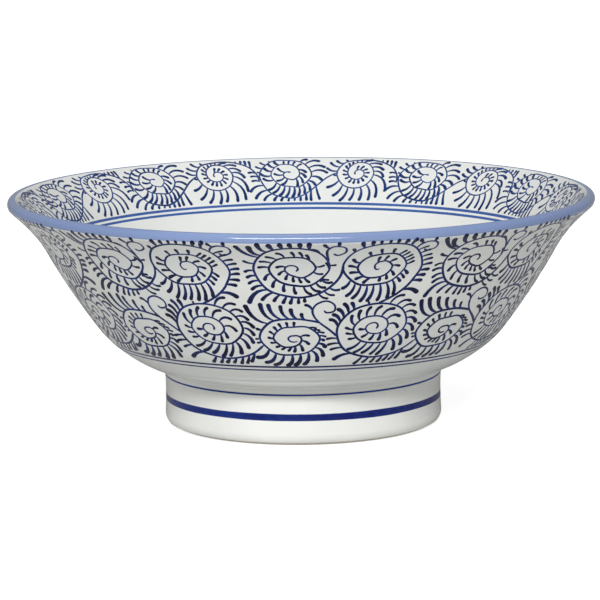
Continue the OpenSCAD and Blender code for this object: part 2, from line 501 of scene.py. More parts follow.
class Repeat:
    """One repeat of the scroll on a face: its vine lines and the dashes that grow from them.
    leaning is how many millimetres along the face look one millimetre high from the front."""

    def __init__(self, face, repeats, low, high, leaning):
        self.face = face
        self.leaning = leaning
        self.repeats = repeats
        self.pitch = 360 / repeats
        self.low, self.high = low, high
        self.vines = []
        self.dashes = []
        self.taken = []

    def vine(self, *args, **values):
        made = Vine(*args, **values)
        self.vines.append(made)
        return made

    def trace(self):
        """Breaks the vine lines into short steps, so that a dash can look for the next line."""
        starts, ends, owner, place = [], [], [], []
        for index, vine in enumerate(self.vines):
            shares = vine.whole(VINE_STEP)
            path = vine.unrolled(shares)
            for shift in (-self.pitch, 0, self.pitch):
                moved = path + [shift, 0]
                starts.append(moved[:-1])
                ends.append(moved[1:])
                owner.append(np.full(len(path) - 1, -1 if shift else index))
                place.append(shares[:-1])
        self.starts, self.ends = np.concatenate(starts), np.concatenate(ends)
        self.owner, self.place = np.concatenate(owner), np.concatenate(place)

    def stretch(self, along):
        """Millimetres in a degree, and in a millimetre along the face."""
        return np.array([math.radians(1) * self.face.radius_mm(along), 1.0])

    def clear_way(self, point, heading, own, own_place):
        """Millimetres from a point to the next line or border."""
        scale = self.stretch(point[1])
        a = (self.starts - point) * scale
        step = (self.ends - point) * scale - a
        cross = heading[0] * step[:, 1] - heading[1] * step[:, 0]
        cross = np.where(abs(cross) < 1e-9, 1e-9, cross)
        far = (a[:, 0] * step[:, 1] - a[:, 1] * step[:, 0]) / cross
        on = (a[:, 0] * heading[1] - a[:, 1] * heading[0]) / cross
        near = (self.owner == own) & (abs(self.place - own_place) < 0.5)
        met = far[(far > 0.15) & (on >= 0) & (on <= 1) & ~near]
        way = met.min() if len(met) else 99.0
        if heading[1] > 1e-6:
            way = min(way, (self.high - point[1]) / heading[1])
        if heading[1] < -1e-6:
            way = min(way, (self.low - point[1]) / heading[1])
        return way

    def crowded(self, path, room):
        """Whether a dash would come closer than room to one that is there already."""
        if not self.taken:
            return False
        taken = np.concatenate(self.taken)
        scale = self.stretch(path[0, 1])
        for shift in (-self.pitch, 0, self.pitch):
            gap = (path[:, None] - taken[None] - [shift, 0]) * scale
            if np.hypot(gap[..., 0], gap[..., 1]).min() < room:
                return True
        return False

    def seen(self, degrees):
        """A step on the face that looks, from the front, one millimetre long in a given direction."""
        return np.array([math.cos(math.radians(degrees)), self.leaning * math.sin(math.radians(degrees))])

    def sow(self, vine, first, last, spacing, aim, fill, longest, head, bend=0, room=0.44, shortest=0.9):
        """Grows dashes from a stretch of a vine line. aim is the way a dash points as seen from the front,
        in degrees anticlockwise from the right, fill is the share of the clear way that it takes, and bend
        is half of its turn to the left. A pair of values changes evenly along the stretch."""
        own = self.vines.index(vine)
        shares = vine.even(first, last, spacing) if last > first else [first]
        for i, share in enumerate(shares):
            t = i / max(1, len(shares) - 1)
            turn, half_bend = between(aim, t), between(bend, t)
            aimed = self.seen(turn)
            root = vine.unrolled([share])[0]
            scale = self.stretch(root[1])
            way = self.clear_way(root, aimed / np.linalg.norm(aimed), own, share)
            reach = min(between(longest, t), between(fill, t) * way / np.linalg.norm(aimed))
            while reach >= shortest:
                u = np.linspace(0, 1, 9)[:, None]
                tip = root + aimed * reach / scale
                halfway = reach / (2 * math.cos(math.radians(half_bend)))
                knee = root + self.seen(turn - half_bend) * halfway / scale
                path = (1 - u) ** 2 * root + 2 * u * (1 - u) * knee + u ** 2 * tip
                if not self.crowded(path[5:], room):
                    self.dashes.append((path, between(head, t)))
                    self.taken.append(path[5:])
                    break
                reach *= 0.88


def between(value, t):
    """A value, or the value a share t of the way between a pair."""
    if isinstance(value, tuple):
        return value[0] + (value[1] - value[0]) * t
    return value


def outer_scroll(face):
    """The repeat of the outer wall: two coils under the rim, two above the border and a tendril."""
    upper_row, lower_row = 94.0, 79.0
    r = Repeat(face, 9, 24.6, 83.0, leaning=1.45)
    upper_right = r.vine(
        upper_row, (15.5, 68.8),
        lead=[(2.7, -15.7), (5.5, -14.5), (10.0, -11.5), (13.7, -7.1)],
        reach=[15.7, 12.2, 11.9, 7.7, 9.9, 6.4, 6.9, 4.7, 5.0, 2.4, 1.1, 1.3], start=0, sense=1)
    upper_left = r.vine(
        upper_row, (-2.0, 69.0),
        lead=[(17.0, 1.2), (16.4, -3.2), (14.6, -6.5), (11.2, -9.7), (6.5, -11.9)],
        reach=[12.3, 12.7, 11.1, 12.4, 7.2, 7.6, 5.9, 7.8, 3.1, 2.4, 1.7, 2.0], dot=0.9)
    lower_right = r.vine(
        lower_row, (17.5, 42.0),
        lead=[(17.3, -7.2), (13.6, -10.8), (8.4, -13.2)],
        reach=[13.9, 12.7, 10.8, 11.1, 7.1, 7.2, 5.2, 4.6, 2.9, 3.0, 2.1, 1.0], dot=0.9)
    lower_left = r.vine(
        lower_row, (-2.2, 38.2),
        lead=[(8.6, 6.9), (6.0, 7.9)],
        reach=[8.9, 11.6, 7.8, 8.9, 5.2, 6.9, 3.8, 2.6, 1.2, 1.9, 1.8], start=90, sense=1)
    tendril = r.vine(
        lower_row, (-2.2, 38.2),
        lead=[(14.9, 0.4), (11.6, 4.0), (8.6, 6.9), (6.7, 9.9), (6.2, 12.8), (7.5, 15.4),
              (10.4, 16.5), (12.9, 14.8), (13.0, 12.2), (10.6, 11.5), (9.8, 12.6)], dot=0.8)
    left_curl = r.vine(
        upper_row, (-2.0, 69.0),
        lead=[(12.0, 3.6), (11.2, 7.4), (11.4, 9.9), (13.4, 11.6), (16.6, 10.8), (17.0, 8.2),
              (14.6, 6.6), (13.2, 7.6)], dot=0.9)
    right_curl = r.vine(
        upper_row, (15.5, 68.8),
        lead=[(11.2, 8.8), (12.2, 11.0), (14.6, 12.3), (17.6, 11.2), (17.9, 8.4), (15.5, 7.0),
              (13.9, 8.0)], dot=0.9)
    r.trace()

    def sow(vine, first, last, *values, **named):
        r.sow(vine, vine.quarter(first), vine.quarter(last), *values, **named)

    # Upper left coil: under the rim, right, beneath and left; then between its turns
    sow(upper_left, 1.33, 1.33, 0, 147, 1.0, 8.4, 1.6, bend=-27)
    sow(upper_left, 1.40, 2.32, 2.9, (134, 96), 1.0, 5.4, 1.9, bend=(-44, -17))
    sow(upper_left, 2.54, 2.54, 0, 158, 0.9, 4.2, 1.1, bend=34)
    sow(upper_left, 2.9, 3.28, 2.0, (4, 352), 0.5, 3.0, 0.9, bend=17)
    sow(upper_left, -1.2, -0.75, 2.6, (352, 336), 0.66, 4.0, 1.0, bend=27)
    sow(upper_left, -0.3, 0.12, 2.5, (274, 242), 0.6, (1.6, 3.0), 1.25, bend=10)
    sow(upper_left, 0.24, 0.36, 2.1, (222, 208), 0.9, (3.6, 5.4), 1.3, bend=20)
    sow(upper_left, 0.48, 0.48, 0, 213, 1.0, 8.0, 1.6, bend=34)
    sow(upper_left, 0.60, 0.95, 2.8, (195, 190), 0.66, (4.8, 3.4), 1.15, bend=24)
    sow(upper_left, 1.15, 1.15, 0, 162, 0.8, 3.8, 1.15, bend=-20)
    sow(upper_left, 3.3, 3.73, 2.6, (345, 325), 0.9, 4.2, 1.1, bend=34)
    sow(upper_left, 3.95, 4.8, 3.0, (284, 222), 0.75, 3.2, 1.3, bend=34)
    sow(upper_left, 5.07, 5.5, 2.0, (182, 168), 0.85, 4.2, 1.2, bend=14)
    sow(upper_left, 5.78, 5.78, 0, 150, 0.95, 3.6, 1.2, bend=37)
    sow(upper_left, 6.1, 6.6, 2.7, (124, 116), 0.8, 2.6, 1.15, bend=20)
    sow(upper_left, 6.9, 7.16, 2.2, (12, 352), 0.8, 3.7, 1.0, bend=24)
    sow(upper_left, 7.49, 9.3, 2.0, (326, 188), 0.7, 3.4, 1.15, bend=24)
    # Upper right coil: round the outside, then between its turns
    sow(upper_right, -0.92, -0.92, 0, 347, 1.0, 6.8, 1.8, bend=-27)
    sow(upper_right, -0.5, 0.36, 2.2, (-2, 18), 0.6, 4.0, (1.5, 1.0), bend=-10)
    sow(upper_right, 0.55, 1.32, 2.5, (54, 108), 1.0, 5.0, 1.65, bend=(-41, -24))
    sow(upper_right, 1.52, 1.52, 0, 112, 0.8, 1.8, 1.4)
    sow(upper_right, 2.35, 3.5, 2.4, (216, 288), 1.0, 5.2, 1.35, bend=-31)
    sow(upper_right, 3.62, 3.86, 2.3, (316, 322), 0.66, 2.6, 1.2, bend=-14)
    sow(upper_right, 4.05, 4.5, 1.7, (22, 32), 0.72, 3.0, 1.05, bend=10)
    sow(upper_right, 4.68, 5.3, 2.8, (84, 124), 0.66, 2.2, 1.25, bend=-10)
    sow(upper_right, 5.74, 5.74, 0, 154, 0.95, 3.4, 1.4, bend=-37)
    sow(upper_right, 6.0, 6.78, 2.3, (168, 210), 0.85, 3.6, 1.25, bend=10)
    sow(upper_right, 7.2, 9.1, 2.3, (258, 440), 0.75, 3.0, 1.15, bend=-17)
    # Lower right coil
    sow(lower_right, -1.0, 0.1, 2.7, (246, 222), 0.95, 4.2, 1.3, bend=-10)
    sow(lower_right, 0.3, 0.3, 0, 199, 1.0, 6.6, 1.6, bend=24)
    sow(lower_right, 0.55, 0.9, 2.3, (191, 181), 0.66, 4.4, 1.1, bend=14)
    sow(lower_right, 1.05, 1.52, 2.3, (144, 120), 0.95, 4.2, 1.5, bend=(41, 31))
    sow(lower_right, 1.8, 1.8, 0, 100, 0.8, 1.8, 1.1)
    sow(lower_right, 2.2, 3.42, 2.5, (26, -72), 0.95, (5.4, 4.4), (1.15, 1.5), bend=-37)
    sow(lower_right, 3.52, 4.35, 2.5, (241, 206), 0.95, 5.4, 1.35, bend=-24)
    sow(lower_right, 4.6, 4.95, 1.9, (184, 160), 0.66, 3.0, 1.15, bend=-14)
    sow(lower_right, 5.15, 6.85, 2.5, (113, -17), 0.8, 4.8, 1.25, bend=-41)
    sow(lower_right, 7.15, 8.9, 2.3, (288, 178), 0.8, 2.8, 1.25, bend=-17)
    # Lower left coil
    sow(lower_left, -0.3, 0.56, 2.3, (118, 135), 1.0, (2.6, 8.6), (1.3, 1.7), bend=-37)
    sow(lower_left, 0.76, 0.76, 0, 170, 0.85, 3.6, 1.15, bend=-17)
    sow(lower_left, 1.02, 1.22, 1.9, 186, 0.5, 1.8, 1.0)
    sow(lower_left, 1.34, 2.4, 2.9, (205, 254), 1.0, 6.0, 1.7, bend=-41)
    sow(lower_left, 2.5, 2.92, 2.3, (302, 346), 0.95, 5.0, 1.4, bend=-41)
    sow(lower_left, 3.1, 3.5, 1.8, (350, 356), 0.66, 2.8, 0.95, bend=-14)
    sow(lower_left, 3.98, 5.9, 2.0, (88, 224), 0.72, 2.2, 1.1)
    sow(lower_left, 6.05, 7.2, 1.7, (256, 365), 0.82, 3.3, 1.15, bend=-27)
    # Tendril and the curls under the rim
    r.sow(tendril, 3.9, 3.9, 0, 152, 0.8, 3.4, 1.1, bend=34)
    r.sow(left_curl, 2.3, 2.3, 0, 142, 0.95, 3.0, 1.4, bend=-14)
    r.sow(left_curl, 3.4, 3.4, 0, 97, 1.0, 2.2, 1.7, bend=-14)
    r.sow(right_curl, 1.3, 1.3, 0, 142, 0.95, 3.0, 1.4, bend=-14)
    r.sow(right_curl, 2.6, 2.6, 0, 97, 1.0, 2.2, 1.7, bend=-14)
    return r


def inner_scroll(face):
    """The repeat inside the flared rim: a wide coil, a small one, and the line that ties them."""
    row = 98.0
    r = Repeat(face, 11, 105.0, 124.6, leaning=1.18)
    wide = r.vine(
        row, (-2.9, 116.9),
        lead=[(19.6, 1.2), (15.4, -1.4), (10.1, -6.4), (5.3, -9.6)],
        reach=[10.5, 11.4, 7.2, 9.2, 5.4, 6.8, 5.1, 4.5, 2.0, 2.0, 1.4], dot=0.8)
    small = r.vine(
        row, (13.0, 117.6),
        lead=[(17.0, -4.0), (16.4, -0.4), (13.9, 3.2), (9.8, 5.6), (5.0, 6.8)],
        reach=[6.6, 8.0, 6.8, 6.7, 5.3, 3.7, 2.8, 2.9, 1.7, 0.9], start=90, sense=1, dot=0.8)
    r.trace()

    def sow(vine, first, last, *values, **named):
        r.sow(vine, vine.quarter(first), vine.quarter(last), *values, **named)

    # Wide coil: beneath, left and right of it, then between its turns
    sow(wide, -1.1, 0.85, 2.6, (284, 197), 1.0, 6.2, 1.15, bend=(8, 34))
    sow(wide, 1.1, 1.5, 2.3, (172, 140), 0.6, 3.0, 1.0, bend=-24)
    sow(wide, 2.4, 3.25, 2.1, (20, -28), 0.95, 6.4, 1.15, bend=-34)
    sow(wide, 3.3, 4.6, 2.0, (290, 214), 1.0, 5.0, 1.2, bend=-30)
    sow(wide, 4.75, 5.65, 2.1, (172, 138), 1.0, 4.4, 1.2, bend=-34)
    sow(wide, 5.85, 6.5, 1.7, (90, 40), 0.85, 3.2, 0.9, bend=-36)
    sow(wide, 6.65, 7.35, 1.6, (-22, -88), 0.95, 3.6, 1.15, bend=-26)
    sow(wide, 8.1, 9.5, 1.4, (224, 148), 1.0, 3.6, 1.05, bend=-28)
    # Small coil: round the outside, then between its turns
    sow(small, -2.4, -1.9, 2.1, (184, 176), 0.5, 3.2, 1.0, bend=26)
    sow(small, -1.55, -0.3, 2.0, (95, 88), 1.0, 4.0, 1.15, bend=10)
    sow(small, 0.35, 1.1, 2.1, (148, 164), 0.9, 4.4, 1.1, bend=-30)
    sow(small, 1.3, 2.95, 2.6, (212, 312), 1.0, (5.4, 8.6), 1.2, bend=(-24, -38))
    sow(small, 3.12, 3.8, 2.1, (-28, 16), 0.95, 5.4, 1.15, bend=(-40, -16))
    sow(small, 3.9, 4.5, 1.4, (66, 112), 0.8, 1.8, 0.9)
    sow(small, 4.7, 8.1, 1.3, (130, 436), 0.85, 2.1, 1.0, bend=-14)
    return r


# ---------------------------------------------------------------- laying the strokes

# Steps round a line painted on the wheel, and millimetres that it sways
RING_STEPS = 720
RING_SWAY = 0.06
# Millimetres along the outer face where its upper row of coils meets the lower one
ROW_SPLIT = 54


def lay_vines(paint, repeat, width):
    """Paints the vine lines of every repeat, each a little different by hand."""
    chance = paint.chance
    for turn in range(repeat.repeats):
        for vine in repeat.vines:
            path = vine.unrolled(vine.whole(VINE_STEP))
            path[:, 0] += turn * repeat.pitch
            count = len(path)
            u = np.linspace(0, 1, count)
            sway = through([chance.uniform(-1, 1) for _ in range(8)], u * 7)
            pressure = through([chance.uniform(-1, 1) for _ in range(12)], u * 11)
            half = width / 2 * (1 + 0.14 * pressure) * (1 - 0.25 * u)
            half *= np.minimum(1, np.minimum(np.arange(count), np.arange(count)[::-1]) * 0.45 + 0.35)
            if vine.dot:
                from_end = np.arange(count)[::-1] * VINE_STEP
                bead = np.clip(1 - ((from_end - vine.dot) / vine.dot) ** 2, 0, 1) ** 0.5
                half = np.maximum(half, vine.dot * 0.55 * MM * bead)
            path[:, 1] += 0.10 * sway
            loads = np.clip(0.74 + 0.18 * pressure, 0.2, 1)
            paint.stroke(path[:, 0], path[:, 1], half, loads)


def lay_dash(paint, path, head):
    """One dash: a thin tail that swells to a round, heavily loaded head."""
    chance = paint.chance
    scale = np.array([math.radians(1) * paint.face.radius_mm(path[0, 1]), 1.0])
    step = np.linalg.norm(np.diff(path, axis=0) * scale, axis=1)
    run = np.concatenate([[0], np.cumsum(step)])
    total = run[-1]
    radius = min(head / 2, total / 3)
    tail = brush().dash_tail / MM
    body = np.linspace(0, total - radius, 6)
    cap = total - radius * np.array([0.62, 0.3, 0.08, 0.0])
    spots = np.concatenate([body, cap])
    swell = np.clip(spots / (total - radius), 0, 1) ** 0.65
    half = tail / 2 + (radius - tail / 2) * swell
    inside = np.clip((spots - (total - radius)) / radius, 0, 1)
    half = np.maximum(half * np.sqrt(np.maximum(0, 1 - inside ** 2)), 0.03)
    degrees = np.interp(spots, run, path[:, 0])
    along = np.interp(spots, run, path[:, 1])
    load = np.clip(0.55 + 0.5 * swell + chance.uniform(-0.12, 0.12), 0.15, 1)
    paint.stroke(degrees, along, half * MM, load)


def lay_dashes(paint, repeat, keep, weight=1.0):
    """Paints the dashes of every repeat for which keep says so; weight scales their width."""
    chance = paint.chance
    for turn in range(repeat.repeats):
        for path, head in repeat.dashes:
            moved = path + [turn * repeat.pitch, 0]
            twist = math.radians(chance.uniform(-5, 5))
            swing = (moved - moved[0]) * repeat.stretch(moved[0, 1])
            cos, sin = math.cos(twist), math.sin(twist)
            swing = swing @ np.array([[cos, sin], [-sin, cos]])
            swing *= chance.uniform(0.92, 1.04)
            moved = moved[0] + swing / repeat.stretch(moved[0, 1])
            head_width = weight * head * chance.uniform(1.05, 1.25)
            if keep(path):
                lay_dash(paint, moved, head_width)


def lay_ring(paint, along, width, load):
    """A line painted all the way round the bowl on the wheel."""
    chance = paint.chance
    turn = np.linspace(0, 2 * math.pi, RING_STEPS, endpoint=False)
    sway = sum(chance.uniform(-1, 1) * np.sin(k * turn + chance.uniform(0, 6)) / k for k in range(1, 6))
    press = sum(chance.uniform(-1, 1) * np.sin(k * turn + chance.uniform(0, 6)) / k ** 0.5
                for k in (2, 3, 5, 8, 13))
    half = width / 2 * (1 + 0.08 * press)
    loads = np.clip(load + 0.08 * press, 0.1, 1)
    paint.stroke(np.degrees(turn), along + RING_SWAY * sway, half, loads, closed=True)


# ---------------------------------------------------------------- node groups and materials

def wire(tree, kind, inputs=None, **settings):
    """Adds a node, sets its settings and fills its inputs with values or with other nodes' outputs."""
    made = tree.nodes.new(kind)
    for name, value in settings.items():
        setattr(made, name, value)
    for name, value in (inputs or {}).items():
        socket = made.inputs[name]
        if isinstance(value, bpy.types.NodeSocket):
            tree.links.new(value, socket)
        else:
            socket.default_value = value
    return made


def group(name, inputs, outputs):
    """A shader node group with named sockets, each given as a kind and a default."""
    tree = bpy.data.node_groups.new(name, "ShaderNodeTree")
    for label, (kind, default) in inputs.items():
        socket = tree.interface.new_socket(name=label, in_out="INPUT", socket_type=kind)
        socket.default_value = default
    for label, kind in outputs.items():
        tree.interface.new_socket(name=label, in_out="OUTPUT", socket_type=kind)
    return tree, tree.nodes.new("NodeGroupInput"), tree.nodes.new("NodeGroupOutput")


FLOAT, COLOUR = "NodeSocketFloat", "NodeSocketColor"


def paint_colour(value):
    return (value[0], value[1], value[2], 1.0)


def darker(value, share=0.88):
    return [c * share for c in value]


def glaze_group():
    """Clear glaze over clay: slow changes of shade where it pools, fine pits and a faint orange peel."""
    tree, given, out = group(
        "glazed_surface",
        {"Colour": (COLOUR, (0.8, 0.8, 0.8, 1)), "Pooled colour": (COLOUR, (0.75, 0.8, 0.8, 1)),
         "Speck colour": (COLOUR, (0.35, 0.3, 0.26, 1)), "Pool size": (FLOAT, 22.0), "Specks": (FLOAT, 1.0),
         "Gloss": (FLOAT, 0.12)},
        {"Colour": COLOUR, "Roughness": FLOAT, "Height": FLOAT})
    where = wire(tree, "ShaderNodeTexCoord").outputs["Object"]
    pool = wire(tree, "ShaderNodeTexNoise",
                {"Vector": where, "Scale": given.outputs["Pool size"], "Detail": 3.0, "Roughness": 0.5})
    pool_mask = wire(tree, "ShaderNodeMapRange",
                     {"Value": pool.outputs["Fac"], "From Min": 0.35, "From Max": 0.7})
    shade = wire(tree, "ShaderNodeMix", data_type="RGBA")
    tree.links.new(pool_mask.outputs["Result"], shade.inputs["Factor"])
    tree.links.new(given.outputs["Colour"], shade.inputs[6])
    tree.links.new(given.outputs["Pooled colour"], shade.inputs[7])
    spots = wire(tree, "ShaderNodeTexVoronoi", {"Vector": where, "Scale": 130.0, "Randomness": 1.0})
    few = wire(tree, "ShaderNodeSeparateColor", {"Color": spots.outputs["Color"]})
    chosen = wire(tree, "ShaderNodeMath", {0: few.outputs["Red"], 1: 0.93}, operation="GREATER_THAN")
    tiny = wire(tree, "ShaderNodeMapRange",
                {"Value": spots.outputs["Distance"], "From Min": 0.03, "From Max": 0.016,
                 "To Min": 0.0, "To Max": 0.7})
    speck = wire(tree, "ShaderNodeMath",
                 {0: chosen.outputs[0], 1: tiny.outputs["Result"]}, operation="MULTIPLY")
    speck = wire(tree, "ShaderNodeMath", {0: speck.outputs[0], 1: given.outputs["Specks"]},
                 operation="MULTIPLY")
    speckled = wire(tree, "ShaderNodeMix", data_type="RGBA")
    tree.links.new(speck.outputs[0], speckled.inputs["Factor"])
    tree.links.new(shade.outputs[2], speckled.inputs[6])
    tree.links.new(given.outputs["Speck colour"], speckled.inputs[7])
    peel = wire(tree, "ShaderNodeTexNoise", {"Vector": where, "Scale": 420.0, "Detail": 2.0})
    swell = wire(tree, "ShaderNodeTexNoise", {"Vector": where, "Scale": 75.0, "Detail": 1.0})
    height = wire(tree, "ShaderNodeMath",
                  {0: swell.outputs["Fac"], 1: 3.0, 2: peel.outputs["Fac"]}, operation="MULTIPLY_ADD")
    rough = wire(tree, "ShaderNodeMath",
                 {0: pool.outputs["Fac"], 1: 0.10, 2: given.outputs["Gloss"]}, operation="MULTIPLY_ADD")
    tree.links.new(speckled.outputs[2], out.inputs["Colour"])
    tree.links.new(rough.outputs[0], out.inputs["Roughness"])
    tree.links.new(height.outputs[0], out.inputs["Height"])
    return tree


def turning_group():
    """Fine rings that the turning tool leaves, about the bowl's axis."""
    tree, given, out = group(
        "turning_rings", {"Spacing": (FLOAT, 0.0016), "Wander": (FLOAT, 0.5)}, {"Height": FLOAT})
    where = wire(tree, "ShaderNodeTexCoord").outputs["Object"]
    parts = wire(tree, "ShaderNodeSeparateXYZ", {"Vector": where})
    flat = wire(tree, "ShaderNodeCombineXYZ", {"X": parts.outputs["X"], "Y": parts.outputs["Y"]})
    radius = wire(tree, "ShaderNodeVectorMath", {0: flat.outputs[0]}, operation="LENGTH")
    reach = wire(tree, "ShaderNodeMath", {0: radius.outputs["Value"], 1: parts.outputs["Z"]},
                 operation="SUBTRACT")
    turns = wire(tree, "ShaderNodeMath", {0: reach.outputs[0], 1: given.outputs["Spacing"]},
                 operation="DIVIDE")
    stray = wire(tree, "ShaderNodeTexNoise", {"Vector": where, "Scale": 40.0})
    turns = wire(tree, "ShaderNodeMath",
                 {0: stray.outputs["Fac"], 1: given.outputs["Wander"], 2: turns.outputs[0]},
                 operation="MULTIPLY_ADD")
    wave = wire(tree, "ShaderNodeTexNoise", {"W": turns.outputs[0], "Scale": 1.0, "Detail": 2.0},
                noise_dimensions="1D")
    tree.links.new(wave.outputs["Fac"], out.inputs["Height"])
    return tree


def cobalt_group():
    """Cobalt paint: dark where the stroke carries most, paler and uneven where the brush ran dry."""
    tree, given, out = group(
        "cobalt_wash",
        {"Thin": (COLOUR, (0.1, 0.2, 0.5, 1)), "Thick": (COLOUR, (0.01, 0.02, 0.1, 1)),
         "Load": (FLOAT, 0.5), "Mottle": (FLOAT, 0.35)},
        {"Colour": COLOUR, "Roughness": FLOAT, "Height": FLOAT})
    where = wire(tree, "ShaderNodeTexCoord").outputs["Object"]
    cloud = wire(tree, "ShaderNodeTexNoise", {"Vector": where, "Scale": 380.0, "Detail": 3.0})
    drift = wire(tree, "ShaderNodeTexNoise", {"Vector": where, "Scale": 60.0, "Detail": 1.0})
    both = wire(tree, "ShaderNodeMath", {0: cloud.outputs["Fac"], 1: drift.outputs["Fac"]},
                operation="ADD")
    off = wire(tree, "ShaderNodeMath", {0: both.outputs[0], 1: 1.0}, operation="SUBTRACT")
    load = wire(tree, "ShaderNodeMath",
                {0: off.outputs[0], 1: given.outputs["Mottle"], 2: given.outputs["Load"]},
                operation="MULTIPLY_ADD", use_clamp=True)
    mixed = wire(tree, "ShaderNodeMix", data_type="RGBA")
    tree.links.new(load.outputs[0], mixed.inputs["Factor"])
    tree.links.new(given.outputs["Thin"], mixed.inputs[6])
    tree.links.new(given.outputs["Thick"], mixed.inputs[7])
    rough = wire(tree, "ShaderNodeMapRange",
                 {"Value": cloud.outputs["Fac"], "To Min": 0.12, "To Max": 0.24})
    tree.links.new(mixed.outputs[2], out.inputs["Colour"])
    tree.links.new(rough.outputs["Result"], out.inputs["Roughness"])
    tree.links.new(cloud.outputs["Fac"], out.inputs["Height"])
    return tree


def shared_group(name, make):
    return bpy.data.node_groups.get(name) or make()


def new_material(name):
    material = bpy.data.materials.new(name)
    material.use_nodes = True
    tree = material.node_tree
    return material, tree, tree.nodes["Principled BSDF"]


def place_group(tree, shared, values):
    """Puts a shared node group in a material with its own values."""
    return wire(tree, "ShaderNodeGroup", values, node_tree=shared)


def bump(tree, shader, height, distance):
    made = wire(tree, "ShaderNodeBump", {"Height": height, "Distance": distance, "Strength": 1.0})
    tree.links.new(made.outputs["Normal"], shader.inputs["Normal"])


def glazed_material(name, base, pooled, specks=1.0):
    """White clay under a clear, glossy glaze."""
    found = bpy.data.materials.get(name)
    if found:
        return found
    material, tree, shader = new_material(name)
    surface = place_group(tree, shared_group("glazed_surface", glaze_group),
                          {"Colour": paint_colour(base), "Pooled colour": paint_colour(pooled),
                           "Specks": specks, "Gloss": 0.08})
    tree.links.new(surface.outputs["Colour"], shader.inputs["Base Color"])
    tree.links.new(surface.outputs["Roughness"], shader.inputs["Roughness"])
    bump(tree, shader, surface.outputs["Height"], 0.00002)
    shader.inputs["IOR"].default_value = 1.5
    return material


def clay_material(name, base):
    """Bare fired clay with the marks of the turning tool."""
    found = bpy.data.materials.get(name)
    if found:
        return found
    material, tree, shader = new_material(name)
    rings = place_group(tree, shared_group("turning_rings", turning_group), {"Spacing": 0.0009})
    surface = place_group(tree, shared_group("glazed_surface", glaze_group),
                          {"Colour": paint_colour(base), "Pooled colour": paint_colour(darker(base)),
                           "Specks": 3.0, "Gloss": 0.62})
    tree.links.new(surface.outputs["Colour"], shader.inputs["Base Color"])
    tree.links.new(surface.outputs["Roughness"], shader.inputs["Roughness"])
    bump(tree, shader, rings.outputs["Height"], 0.00006)
    return material


def cobalt_material(name, thin, thick, mottle=0.35):
    """Painted cobalt under the glaze, shaded by how much each stroke carries."""
    found = bpy.data.materials.get(name)
    if found:
        return found
    material, tree, shader = new_material(name)
    load = wire(tree, "ShaderNodeAttribute", attribute_name="load")
    wash = place_group(tree, shared_group("cobalt_wash", cobalt_group),
                       {"Thin": paint_colour(thin), "Thick": paint_colour(thick),
                        "Load": load.outputs["Fac"], "Mottle": mottle})
    tree.links.new(wash.outputs["Colour"], shader.inputs["Base Color"])
    tree.links.new(wash.outputs["Roughness"], shader.inputs["Roughness"])
    bump(tree, shader, wash.outputs["Height"], 0.00001)
    shader.inputs["Specular IOR Level"].default_value = 0.22
    return material


def clear_glaze():
    return glazed_material("clear_porcelain_glaze", colours().glaze, colours().pooled_glaze)


def scroll_cobalt():
    return cobalt_material("scroll_cobalt", colours().cobalt_thin, colours().cobalt_thick)


def pale_cobalt():
    return cobalt_material("pale_scroll_cobalt", colours().inner_thin, colours().inner_thick)


def bowl_outline():
    return Outline(sizes())


def outer_paint_face():
    outline = bowl_outline()
    line = join(outline.outer_face(0, 4 * SHOWN_STEPS), outline.low_rim(0), outline.band_rim(0))
    return Face(line, front=-1, air=-1)


def inner_paint_face():
    outline = bowl_outline()
    line = join(outline.inner_rim(0), outline.inner_face(0, 4 * SHOWN_STEPS))[::-1]
    return Face(line, front=1, air=1)


def foot_paint_face():
    return Face(bowl_outline().foot_face(0, 4 * SHOWN_STEPS), front=-1, air=-1)


# ---------------------------------------------------------------- stage

FLOOR_HALF_WIDTH = 6.0
FLOOR_GLOW = 0.80
AIR_LIGHT = 0.31
LAMP_AIM = (0, 0, 0.04)
# Name, place, width and depth, and watts of each soft box
SOFT_BOXES = (
    ("strip_softbox", (-0.13, -1.31, 0.96), (1.1, 0.16), 19.5),
    ("top_softbox", (0.0, 0.3, 1.8), (1.4, 1.4), 4.0))
CAMERA_AIM = (0.0, 0.0, 0.040)
CAMERA_DISTANCE = 1.3014
CAMERA_ELEVATION = 9.451
CAMERA_ROLL = -0.665


def floor_material():
    """A pale matt floor that is evenly bright where it is seen directly."""
    material, tree, shader = new_material("studio_floor")
    shader.inputs["Base Color"].default_value = paint_colour(colours().floor)
    shader.inputs["Roughness"].default_value = 0.9
    shader.inputs["Specular IOR Level"].default_value = 0.1
    seen = wire(tree, "ShaderNodeLightPath")
    lit = wire(tree, "ShaderNodeMath", {0: seen.outputs["Is Camera Ray"], 1: FLOOR_GLOW},
               operation="MULTIPLY")
    shader.inputs["Emission Color"].default_value = (1, 1, 1, 1)
    tree.links.new(lit.outputs[0], shader.inputs["Emission Strength"])
    return material


def facing(place, aim):
    """Where a lamp or camera stands so that it looks at aim."""
    way = Vector(aim) - Vector(place)
    return Matrix.Translation(place) @ way.to_track_quat("-Z", "Y").to_matrix().to_4x4()


def soft_box(name, place, size, watts):
    lamp = bpy.data.lights.new(name, "AREA")
    lamp.shape = "RECTANGLE"
    lamp.size, lamp.size_y = size
    lamp.energy = watts
    box = bpy.data.objects.new(name, lamp)
    box.matrix_world = facing(place, LAMP_AIM)
    return box


